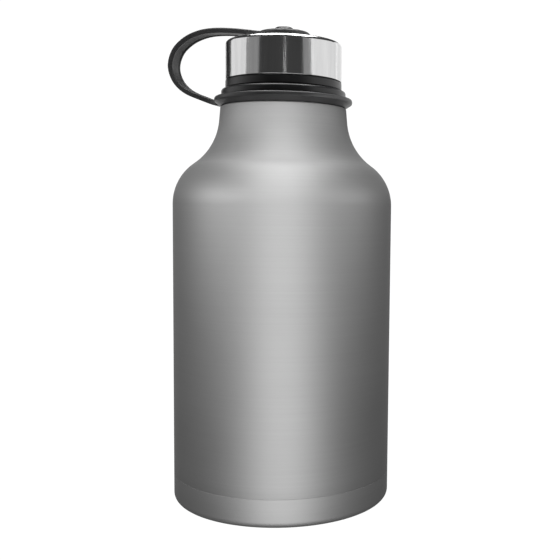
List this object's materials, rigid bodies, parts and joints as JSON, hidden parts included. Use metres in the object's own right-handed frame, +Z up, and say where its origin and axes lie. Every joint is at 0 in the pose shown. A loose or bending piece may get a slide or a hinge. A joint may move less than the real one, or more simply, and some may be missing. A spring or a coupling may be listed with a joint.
{
  "type": "growler",
  "caption": "Double-walled steel growler with sloping shoulders, a screw-in insulated lid under a polished cap, and a strap tether from the neck to the lid.",
  "frame": {"origin": "on the bottle's axis, in the plane that it stands on", "axes": "+Z up along the bottle's axis towards the lid; the tether's loop points along -X at rest"},
  "size_m": [0.1314, 0.124, 0.2686],
  "materials": {
    "satin_steel": "satin",
    "bare_steel": "satin",
    "polished_steel": "polished",
    "foil": "polished",
    "solder_glass": "gloss",
    "getter_powder": "matte",
    "black_rubber": "satin",
    "black_plastic": "satin",
    "stud_plastic": "gloss",
    "silicone": "satin",
    "lid_foam": "matte"
  },
  "bodies": {
    "bottle": {"outer_shell": "satin_steel", "outer_base": "satin_steel", "vacuum_bottom": "bare_steel", "vacuum_seal": "solder_glass", "inner_flask": "bare_steel", "inner_shoulder": "bare_steel", "inner_neck": "bare_steel", "inner_base": "bare_steel", "radiation_foil": "foil", "getter_cup": "bare_steel", "getter_pill": "getter_powder"},
    "tether": {"tether_ring": "black_rubber", "tether_loop": "black_rubber"},
    "tether_end": {"tether_eyelet": "black_rubber"},
    "lid": {"lid_body": "black_plastic", "lid_cap": "polished_steel", "lid_insulation": "lid_foam", "lid_bottom_cover": "black_plastic", "lip_gasket": "silicone", "lid_stud": "stud_plastic", "stud_screw": "bare_steel", "screw_washer": "bare_steel"},
    "swivel": {"swivel_washer": "bare_steel"}
  },
  "joints": [
    {"name": "tether_swivel", "type": "hinge", "parent": "bottle", "child": "tether", "pos_m": [0, 0, 0.2235], "axis": [0, 0, 1], "continuous": true},
    {"name": "eyelet_lift", "type": "slide", "parent": "tether", "child": "tether_end", "axis": [0, 0, 1], "range_m": [0, 0.0161], "deforming": ["tether_loop"]},
    {"name": "lid_lift", "type": "slide", "parent": "bottle", "child": "swivel", "axis": [0, 0, 1], "range_m": [0, 0.0161]},
    {"name": "lid_turn", "type": "hinge", "parent": "swivel", "child": "lid", "pos_m": [0, 0, 0.2284], "axis": [0, 0, 1], "range_deg": [0, 720]}
  ],
  "couplings": [
    {"joint": "lid_lift", "follows": "lid_turn", "m_per_rad": 0.0012732},
    {"joint": "eyelet_lift", "follows": "lid_turn", "m_per_rad": 0.0012732}
  ]
}
